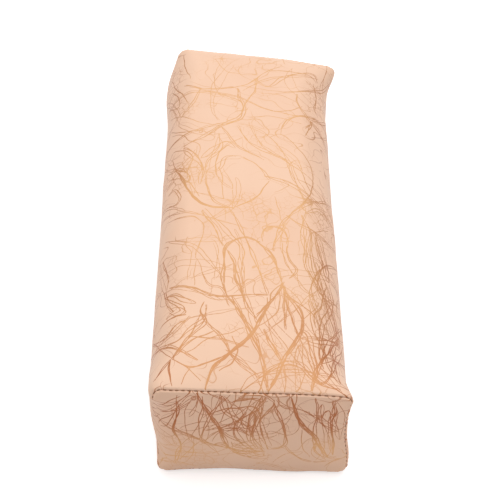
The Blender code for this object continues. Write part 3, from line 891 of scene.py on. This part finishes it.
FRONT_STRANDS = (
    (4, 1.5, 0.34, (197, 393), (209, 415), (220, 430), (230, 447), (240, 452)),
    (2, 0.8, 0.28, (230, 393), (211, 413), (201, 431), (203, 442), (222, 446)),
    (3, 1.0, 0.3, (210, 445), (222, 444), (240, 452), (266, 451)),
    (5, 1.8, 0.3, (261, 396), (258, 411), (252, 429), (250, 439), (257, 449)),
    (3, 1.0, 0.26, (274, 403), (284, 427), (284, 444), (271, 449)),
    (3, 0.8, 0.38, (290, 398), (296, 411), (303, 425), (316, 439), (328, 458)),
    (2, 0.8, 0.28, (316, 399), (317, 417), (314, 452)),
    (3, 1.0, 0.3, (332, 401), (335, 411), (329, 422), (332, 455)),
    (2, 0.8, 0.26, (276, 400), (287, 407), (302, 409), (324, 421)),
    (2, 0.6, 0.3, (177, 395), (177, 411), (173, 427), (181, 444), (176, 461)),
    (2, 0.8, 0.32, (158, 416), (171, 427), (208, 442), (261, 455)),
    (1, 0.3, 0.28, (159, 443), (163, 452), (176, 456), (195, 458)),
    (2, 1.0, 0.2, (160, 459), (185, 464), (215, 467)),
    (4, 3.0, 0.2, (222, 396), (230, 414), (244, 426), (256, 432)),
    (4, 3.0, 0.2, (266, 398), (248, 408), (226, 420), (204, 430)),
    (3, 1.5, 0.24, (232, 402), (252, 399), (268, 401)),
    (1, 0.3, 0.26, (222, 432), (238, 428), (252, 431)),
    (1, 0.3, 0.24, (268, 436), (270, 431), (290, 434), (299, 428), (298, 415)),
    (1, 0.3, 0.22, (158, 404), (170, 402), (180, 396)),
    (2, 0.8, 0.18, (160, 410), (172, 411), (186, 404), (196, 397)),
    (3, 4.0, 0.16, (196, 396), (200, 420), (198, 445)),
    (6, 5.0, 0.2, (232, 442), (246, 449), (264, 456)),
    (4, 4.0, 0.18, (318, 440), (328, 452), (340, 458)),
    (4, 3.0, 0.16, (322, 404), (326, 420), (338, 432)),
    (3, 3.0, 0.14, (336, 400), (341, 416), (340, 440)),
    (1, 0.3, 0.3, (210, 415), (224, 408), (238, 407), (256, 408), (261, 419)),
    (1, 0.3, 0.28, (218, 428), (223, 416), (230, 409), (240, 410), (244, 419), (238, 430)),
    (1, 0.3, 0.26, (248, 408), (255, 416), (252, 426), (244, 429), (241, 420), (248, 409)),
    (1, 0.3, 0.24, (201, 396), (202, 406), (200, 419), (200, 436), (206, 441)),
    (2, 0.6, 0.3, (273, 398), (272, 406), (262, 420), (262, 436), (269, 450)),
    (2, 0.6, 0.28, (285, 446), (294, 454), (310, 460), (326, 461)),
    (1, 0.3, 0.26, (269, 450), (280, 448), (285, 445)),
    (2, 0.8, 0.3, (298, 416), (304, 430), (315, 439)),
    (1, 0.3, 0.28, (300, 430), (304, 447), (308, 457)),
    (2, 0.5, 0.3, (316, 439), (318, 450), (326, 460)),
    (1, 0.3, 0.28, (321, 419), (324, 413), (329, 412), (329, 420), (322, 421)),
    (2, 0.5, 0.34, (333, 402), (336, 412), (332, 423), (333, 438), (332, 455)),
    (2, 1.0, 0.26, (238, 398), (246, 396), (262, 397), (274, 402)),
    (3, 1.5, 0.24, (258, 410), (252, 424), (256, 438), (264, 450)),
    (3, 1.5, 0.24, (246, 412), (238, 428), (244, 442), (258, 452)),
    (2, 0.8, 0.24, (214, 418), (226, 432), (240, 440), (256, 446)),
    (3, 1.5, 0.22, (204, 440), (218, 432), (236, 430), (250, 436)),
    (1, 0.3, 0.3, (212, 442), (218, 434), (224, 430), (217, 428)),
    (3, 3.0, 0.2, (232, 452), (250, 458), (272, 456)),
    (1, 0.3, 0.24, (181, 460), (196, 444), (206, 438)),
)


def wandering_line(place, heading, length, bend):
    """A guide that sets out from a place and turns slowly as it goes, on the sheet."""
    count = max(int(length / LINE_STEP), 3)
    turning = bend + 0.35 * np.cumsum(RNG.normal(0, 0.16, count))
    angle = heading + np.cumsum(turning * LINE_STEP / LINE_CURVE)
    steps = np.stack([np.cos(angle), np.sin(angle)], 1) * LINE_STEP
    return place + np.cumsum(steps, axis=0)


def print_seen(printed, piece, strands):
    """Prints the strands that the camera sees on a piece."""
    seen = SeenSheet(piece, printed.places)
    for count, spread, half_width, *pixels in strands:
        guide = curve_through(seen.places_at(pixels), LINE_STEP)
        printed.bundle(guide, count, spread * MM, half_width * MM)


def scatter(printed, low, high, kinds):
    """Prints loose bundles of these kinds all over a rectangle of the sheet."""
    for count, length, strands, spread, half_width in kinds:
        for _ in range(count):
            place = RNG.uniform(low, high)
            reach = RNG.uniform(0.5, 1.0) * (length * MM)
            line = wandering_line(place, RNG.uniform(0, 2 * math.pi), reach, RNG.uniform(-1, 1))
            printed.bundle(line, strands, spread * MM, half_width * MM)


def foil_on_wrap(wrap, places):
    """Prints the wrap: the strands that are seen, then loose ones on the sides, the base and the top."""
    printed = FoilPrint("wrap", places)
    print_seen(printed, wrap, WRAP_STRANDS)
    girth = np.abs(places[:, 0]).max()
    for low, high in ((-girth, -TOP_EDGE), (TOP_EDGE, girth)):
        scatter(printed, (low, -END_PLANE), (high, END_PLANE), SIDE_SCATTER)
    scatter(printed, (-TOP_EDGE, -END_PLANE), (TOP_EDGE, END_PLANE), TOP_SCATTER)
    printed.write(wrap.data)


def foil_on_panel(panel, places, front):
    """Prints an end panel: the front one with the strands that are seen, both with loose ones."""
    printed = FoilPrint(panel.name, places)
    kinds = PANEL_SCATTER if front else REAR_SCATTER + PANEL_SCATTER
    if front:
        print_seen(printed, panel, FRONT_STRANDS)
    scatter(printed, (-END_WIDTH / 2, 0.0), (END_WIDTH / 2, END_HEIGHT), kinds)
    printed.write(panel.data)


def feed(made, inputs):
    """Gives the inputs of a node their values or links."""
    for name, value in inputs.items():
        if isinstance(value, bpy.types.NodeSocket):
            made.id_data.links.new(value, made.inputs[name])
        else:
            made.inputs[name].default_value = value


def node(tree, kind, settings, inputs, output=0):
    """Adds a node with these settings and inputs, and returns one of its outputs."""
    made = tree.nodes.new(kind)
    for name, value in settings.items():
        setattr(made, name, value)
    feed(made, inputs)
    return made.outputs[output]


def attribute(tree, name, output="Vector"):
    """Adds what the mesh holds under this name."""
    return node(tree, "ShaderNodeAttribute", {"attribute_name": name}, {}, output)


def relief(tree, height):
    """Adds a bump of this height in metres."""
    return node(tree, "ShaderNodeBump", {}, {"Height": height, "Distance": 1.0, "Strength": 1.0}, "Normal")


def math_node(tree, operation, first, second=0.0):
    """Adds a Math node."""
    return node(tree, "ShaderNodeMath", {"operation": operation}, {0: first, 1: second})


def noise(tree, place, scale, detail, output="Fac"):
    """Adds noise, with a scale in features for each metre."""
    return node(tree, "ShaderNodeTexNoise", {}, {"Vector": place, "Scale": scale, "Detail": detail}, output)


def between(tree, value, low, high, to_low=0.0, to_high=1.0):
    """Adds a smooth step from one value to another."""
    inputs = {"Value": value, "From Min": low, "From Max": high, "To Min": to_low, "To Max": to_high}
    return node(tree, "ShaderNodeMapRange", {"interpolation_type": "SMOOTHSTEP"}, inputs)


def mixed_colour(tree, share, first, second):
    """Adds a mix of two colours."""
    made = tree.nodes.new("ShaderNodeMix")
    made.data_type = "RGBA"
    for name, value in (("Factor_Float", share), ("A_Color", first), ("B_Color", second)):
        socket = next(s for s in made.inputs if s.identifier == name)
        if isinstance(value, bpy.types.NodeSocket):
            tree.links.new(value, socket)
        else:
            socket.default_value = (*value, 1.0)
    return next(s for s in made.outputs if s.identifier == "Result_Color")


def new_material(name):
    """A material with its tree and its Principled shader."""
    made = bpy.data.materials.new(name)
    made.use_nodes = True
    return made, made.node_tree, made.node_tree.nodes["Principled BSDF"]


BLUSH = (0.905, 0.610, 0.440)
BLUSH_DEEP = (0.870, 0.560, 0.395)
# The one foil in painted shade (copper) and with painted reflected light (golden)
SHADED_FOIL = (0.450, 0.138, 0.043)
LIT_FOIL = (0.800, 0.440, 0.200)
FOAM_SHADE = (0.78, 0.76, 0.70)
FOAM_LIGHT = (0.90, 0.88, 0.82)
THREAD_SHADE = (0.210, 0.070, 0.028)
THREAD_LIGHT = (0.400, 0.165, 0.075)

# The fine print between the strands: cells for each metre, line and clearing of the webs, and shift
# and scale of the loose lines
WEBS = ((120.0, 0.035, 22.0), (260.0, 0.05, 30.0))
LOOSE_LINES = ((0.57, 26.0), (1.31, 35.0), (2.17, 48.0))
WEB_STRENGTH = 0.7
# The relief of the cloth: features for each metre and height of its grain and ripple
GRAIN = (1500.0, 0.012 * MM)
RIPPLE = (90.0, 0.12 * MM)
FOIL_HEIGHT = 0.006 * MM
FOIL_METAL = 0.12
CLOTH_ROUGHNESS = 0.5
FOIL_ROUGHNESS = 0.36
FOAM_CELLS = 900.0
FOAM_DEPTH = 0.4 * MM
TWIST_DEPTH = 0.05 * MM
SOFT_GLOSS = 0.2


def loose_lines(tree, place, shift, scale):
    """Long curved lines, where soft noise has its middle value, in patches that fade out."""
    moved = node(tree, "ShaderNodeVectorMath", {"operation": "ADD"}, {0: place, 1: (shift, shift, shift)})
    level = math_node(tree, "SUBTRACT", noise(tree, moved, scale, 1.5), 0.5)
    patch = between(tree, noise(tree, moved, scale * 0.9, 0.0), 0.42, 0.62)
    half_width = math_node(tree, "MULTIPLY", patch, 0.00012 * scale)
    drawn = math_node(tree, "SUBTRACT", half_width, math_node(tree, "ABSOLUTE", level))
    return between(tree, drawn, -0.00001 * scale, 0.00006 * scale)


def web_lines(tree, place, cells, line, clearing):
    """Fine cracks between cells of foil, in patches only."""
    warp = noise(tree, place, cells * 0.8, 3.0, "Color")
    shift = node(tree, "ShaderNodeVectorMath", {"operation": "SCALE"}, {0: warp, "Scale": 0.8 / cells})
    moved = node(tree, "ShaderNodeVectorMath", {"operation": "ADD"}, {0: place, 1: shift})
    settings = {"feature": "DISTANCE_TO_EDGE", "voronoi_dimensions": "2D"}
    edge = node(tree, "ShaderNodeTexVoronoi", settings, {"Vector": moved, "Scale": cells})
    patch = between(tree, noise(tree, place, clearing, 2.0), 0.5, 0.64)
    reach = math_node(tree, "MULTIPLY", patch, line)
    drawn = math_node(tree, "SUBTRACT", reach, edge)
    return between(tree, drawn, 0.0, line * 0.35)


def leather_cloth():
    """Blush leather cloth with a satin grain and a print of fine foil, painted copper as shade and golden as
    reflected light.
    """
    made, tree, shader = new_material("blush_leather_cloth_print")
    place = attribute(tree, "sheet_place")
    nearest = FAR
    for i in range(STRAND_LAYERS):
        offset = attribute(tree, f"strands_{i}")
        length = node(tree, "ShaderNodeVectorMath", {"operation": "LENGTH"}, {0: offset}, "Value")
        nearest = math_node(tree, "MINIMUM", nearest, length)
    ragged = between(tree, noise(tree, place, 500.0, 1.0), 0.3, 0.7, -0.12, 0.15)
    strands = between(tree, math_node(tree, "ADD", nearest, ragged), 1.25, 0.7)
    web = 0.0
    for settings in WEBS:
        web = math_node(tree, "MAXIMUM", web, web_lines(tree, place, *settings))
    for settings in LOOSE_LINES:
        web = math_node(tree, "MAXIMUM", web, loose_lines(tree, place, *settings))
    foil = math_node(tree, "MAXIMUM", strands, math_node(tree, "MULTIPLY", web, WEB_STRENGTH))

    cloth = mixed_colour(tree, between(tree, noise(tree, place, 14.0, 3.0), 0.3, 0.75), BLUSH, BLUSH_DEEP)
    # The foil's tone: painted shade as copper and painted reflected light as a golden tone, set by place,
    # with patches of tone that vary at random
    painted_light_share = attribute(tree, "foil_painted_light_share", "Fac")
    patchy = between(tree, noise(tree, place, 30.0, 2.0), 0.3, 0.7, -0.15, 0.15)
    share = node(tree, "ShaderNodeClamp", {}, {0: math_node(tree, "ADD", painted_light_share, patchy)})
    lit_and_shaded_foil = mixed_colour(tree, share, SHADED_FOIL, LIT_FOIL)
    height = math_node(tree, "MULTIPLY", foil, FOIL_HEIGHT)
    for scale, depth in (GRAIN, RIPPLE):
        layer = math_node(tree, "MULTIPLY", noise(tree, place, scale, 2.0), depth)
        height = math_node(tree, "ADD", height, layer)
    feed(shader, {
        "Base Color": mixed_colour(tree, foil, cloth, lit_and_shaded_foil),
        "Metallic": math_node(tree, "MULTIPLY", foil, FOIL_METAL),
        "Roughness": between(tree, foil, 0.0, 1.0, CLOTH_ROUGHNESS, FOIL_ROUGHNESS),
        "Specular IOR Level": SOFT_GLOSS,
        "Normal": relief(tree, height),
    })
    return made


def upholstery_foam():
    """Matt open-cell foam."""
    made, tree, shader = new_material("white_foam_cells")
    place = node(tree, "ShaderNodeTexCoord", {}, {}, "Object")
    cells = node(tree, "ShaderNodeTexVoronoi", {}, {"Vector": place, "Scale": FOAM_CELLS}, "Distance")
    feed(shader, {
        "Base Color": mixed_colour(tree, cells, FOAM_SHADE, FOAM_LIGHT),
        "Roughness": 0.95,
        "Normal": relief(tree, math_node(tree, "MULTIPLY", cells, FOAM_DEPTH)),
    })
    return made


def sewing_thread():
    """Dark brown twisted thread. The pattern follows the stitch's own map."""
    made, tree, shader = new_material("brown_thread_twist")
    place = node(tree, "ShaderNodeUVMap", {"uv_map": "UVMap"}, {}, "UV")
    turned = node(tree, "ShaderNodeMapping", {}, {"Vector": place, "Scale": (3.0, 5.0, 1.0)}, "Vector")
    bands = {"bands_direction": "DIAGONAL"}
    twist = node(tree, "ShaderNodeTexWave", bands, {"Vector": turned, "Scale": 0.5}, "Fac")
    feed(shader, {
        "Base Color": mixed_colour(tree, twist, THREAD_SHADE, THREAD_LIGHT),
        "Roughness": 0.8,
        "Specular IOR Level": SOFT_GLOSS,
        "Normal": relief(tree, math_node(tree, "MULTIPLY", twist, TWIST_DEPTH)),
    })
    return made


LEATHER_CLOTH = leather_cloth()
FOAM = upholstery_foam()
THREAD = sewing_thread()


def make_wrap():
    """The wrap, with its two ends turned in at the end seams and a groove at the base seam."""
    outer = [front_row(n, e) for n, e in wrap_outer_profile()]
    inner = [front_row(n, e) for n, e in wrap_inner_profile()]
    outer_rows = outer + [front_row(0.0, END_PLANE)] + mirrored(outer)
    inner_rows = inner + mirrored(inner)
    rows = np.array(outer_rows + inner_rows[::-1])
    faces = grid_faces(len(rows), rows.shape[1], True)
    wrap = mesh_piece("leather_wrap", settled(puckered(rows.reshape(-1, 3))), faces, LEATHER_CLOTH)
    printed_rows = rows[: len(outer_rows)]
    steps = np.linalg.norm(np.diff(printed_rows, axis=1), axis=2)
    around = np.concatenate([np.zeros((len(printed_rows), 1)), np.cumsum(steps, axis=1)], 1)
    top = rows.shape[1] // 2
    around = around[:, top : top + 1] - around
    places = np.stack([around, printed_rows[:, :, 1]], 2).reshape(-1, 2)
    foil_on_wrap(wrap, places)
    return wrap


def make_panel(name, front):
    """An end panel."""
    rows = end_panel_rows()
    if not front:
        rows = [row * [1, -1, 1] for row in rows]
    points, faces = capped(rows)
    panel = mesh_piece(name, settled(puckered(points)), faces, LEATHER_CLOTH)
    foil_on_panel(panel, points[:, [0, 2]], front)
    return panel


def make_foam():
    """The foam block inside the cover."""
    points, faces = capped(foam_rows())
    return mesh_piece("foam_block", settled(points), faces, FOAM)


def model_stitch():
    """One stitch: a short length of thread along X that bends down at its ends into the needle holes."""
    bpy.ops.mesh.primitive_uv_sphere_add(segments=8, ring_count=9, radius=0.5)
    stitch = bpy.context.object
    bpy.ops.object.mode_set(mode="EDIT")
    bpy.ops.transform.rotate(value=math.pi / 2, orient_axis="Y", center_override=(0, 0, 0))
    bpy.ops.object.mode_set(mode="OBJECT")
    for vertex in stitch.data.vertices:
        x, y, z = vertex.co * 2
        girth = math.hypot(y, z)
        full = min(1.0, (1 - abs(x) ** 3) * 1.15) / max(girth, 0.2) if girth > 0.01 else 0.0
        vertex.co.x = x * STITCH_LENGTH / 2
        vertex.co.y = y * full * THREAD_D / 2
        vertex.co.z = z * full * THREAD_D / 2 - STITCH_SAG * x * x
    stitch.data.shade_smooth()
    stitch.data.materials.append(THREAD)
    return stitch


def sew(name, places, node_name):
    """Joined copies of the stitch at these places: the middle, the way of sewing and the way out of each."""
    pattern = model_stitch()
    copies = []
    for middle, along, out in places:
        side = np.cross(out, along)
        turn = Matrix(np.stack([along, side, out], 1).tolist()).to_4x4()
        turn.translation = middle.tolist()
        copy = new_object(name, pattern.data.copy())
        copy.data.transform(turn)
        copies.append(copy)
    bpy.data.objects.remove(pattern)
    bpy.ops.object.select_all(action="DESELECT")
    for copy in copies:
        copy.select_set(True)
    bpy.context.view_layer.objects.active = copies[0]
    bpy.ops.object.join()
    copies[0].name = name
    copies[0].select_set(False)
    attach(copies[0], "root")
    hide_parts(node_name)


def unit(vector):
    """The same direction, one long."""
    return vector / np.linalg.norm(vector)


def end_seam_places(side):
    """The stitches round one end."""
    places = []
    for i in range(SEAM.count):
        middle = (i + 0.5) * SEAM.pitch
        ends = [SEAM.at((middle + d * STITCH_LENGTH / 2) % SEAM.length) for d in (-1, 0, 1)]
        points = np.array([place for place, _ in ends] + [ends[1][0] + ends[1][1] * MM])
        points = settled(puckered(points * [1, side, 1]))
        along = unit(points[2] - points[0])
        out = points[3] - points[1]
        out = unit(out - along * (out @ along))
        x, y, z = ends[1][0] * [1, side, 1]
        rolled_over = y < 0 and x < -END_WIDTH / 2 + ROLL_REACH and ROLL_FADES[0] < z < ROLL_FADES[2]
        sunk = ROLLED_STITCH_DEPTH if rolled_over else 0.0
        places.append((points[1] - out * sunk, along, out))
    return places


def base_seam_places():
    """The stitches along the base, clear of the surface that the rest stands on."""
    half = END_PLANE - BASE_SEAM_END
    z = BASE_FOLD_R - seat_height(BASE_FOLD_R, BASE_GAP)
    count = round(2 * half / STITCH_PITCH)
    middles = [(i + 0.5) / count * 2 * half - half for i in range(count)]
    along = np.array([0.0, 1.0, 0.0])
    out = np.array([0.0, 0.0, -1.0])
    return [(settled(np.array([[0.0, y, z]]))[0], along, out) for y in middles]


FLOOR_SIZE = 4.0
FLOOR_DROP = 0.3 * MM
FLOOR_COLOUR = (0.76, 0.74, 0.74, 1.0)
FLOOR_GLOW = 0.55
WHITE = (1, 1, 1, 1)
SKY_LIGHT = 0.97
SKY_DARK = 0.34
LAMP_SIZE = 0.8
LAMP_POWER = 3.0
LAMP_PLACE = (0.1, 0.25, 1.0)
LAMP_TURN = (math.radians(-14), math.radians(6), 0)


def make_floor():
    """A pale floor that the camera and reflections see a little brighter than it is lit."""
    bpy.ops.mesh.primitive_plane_add(size=FLOOR_SIZE, location=(0, 0, -FLOOR_DROP))
    floor = bpy.context.object
    floor.name = "floor"
    made, tree, shader = new_material("pale_floor")
    path = tree.nodes.new("ShaderNodeLightPath")
    seen = math_node(tree, "MAXIMUM", path.outputs["Is Camera Ray"], path.outputs["Is Glossy Ray"])
    seen = math_node(tree, "MAXIMUM", seen, path.outputs["Is Transmission Ray"])
    feed(shader, {
        "Base Color": FLOOR_COLOUR,
        "Roughness": 0.9,
        "Emission Color": WHITE,
        "Emission Strength": math_node(tree, "MULTIPLY", seen, FLOOR_GLOW),
    })
    floor.data.materials.append(made)


def make_lights():
    """An even sky that is darker low in front and at the sides, and one large soft lamp."""
    world = bpy.data.worlds.new("studio")
    bpy.context.scene.world = world
    world.use_nodes = True
    tree = world.node_tree
    background = tree.nodes["Background"]
    way = node(tree, "ShaderNodeTexCoord", {}, {}, "Generated")
    split = tree.nodes.new("ShaderNodeSeparateXYZ")
    tree.links.new(way, split.inputs[0])
    ahead = between(tree, split.outputs["Y"], -0.1, -0.85, 0.0, 0.83)
    aside = between(tree, math_node(tree, "ABSOLUTE", split.outputs["X"]), 0.1, 0.62)
    low = between(tree, split.outputs["Z"], 0.85, 0.25)
    dark = math_node(tree, "MULTIPLY", math_node(tree, "MAXIMUM", ahead, aside), low)
    strength = between(tree, dark, 0.0, 1.0, SKY_LIGHT, SKY_DARK)
    feed(background, {"Strength": strength, "Color": WHITE})

    data = bpy.data.lights.new("softbox", "AREA")
    data.size = LAMP_SIZE
    data.energy = LAMP_POWER
    lamp = new_object("softbox", data)
    lamp.location = LAMP_PLACE
    lamp.rotation_euler = LAMP_TURN
    bpy.context.scene.view_settings.view_transform = "Standard"


make_camera()
make_floor()
make_lights()
wrap = make_wrap()
front_panel = make_panel("front_panel", True)
rear_panel = make_panel("rear_panel", False)
foam = make_foam()
for piece, node_name, slot, fill in (
    (wrap, "cover_wrap", "blush_leather_cloth", 0.85),
    (front_panel, "front_end_panel", "blush_leather_cloth", 0.85),
    (rear_panel, "rear_end_panel", "blush_leather_cloth", 0.85),
    (foam, "foam_core", "white_foam", 0.9),
):
    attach(piece, "root")
    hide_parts(node_name)
sew("front_stitches", end_seam_places(1), "front_seam_thread")
sew("rear_stitches", end_seam_places(-1), "rear_seam_thread")
sew("base_stitches", base_seam_places(), "base_seam_thread")
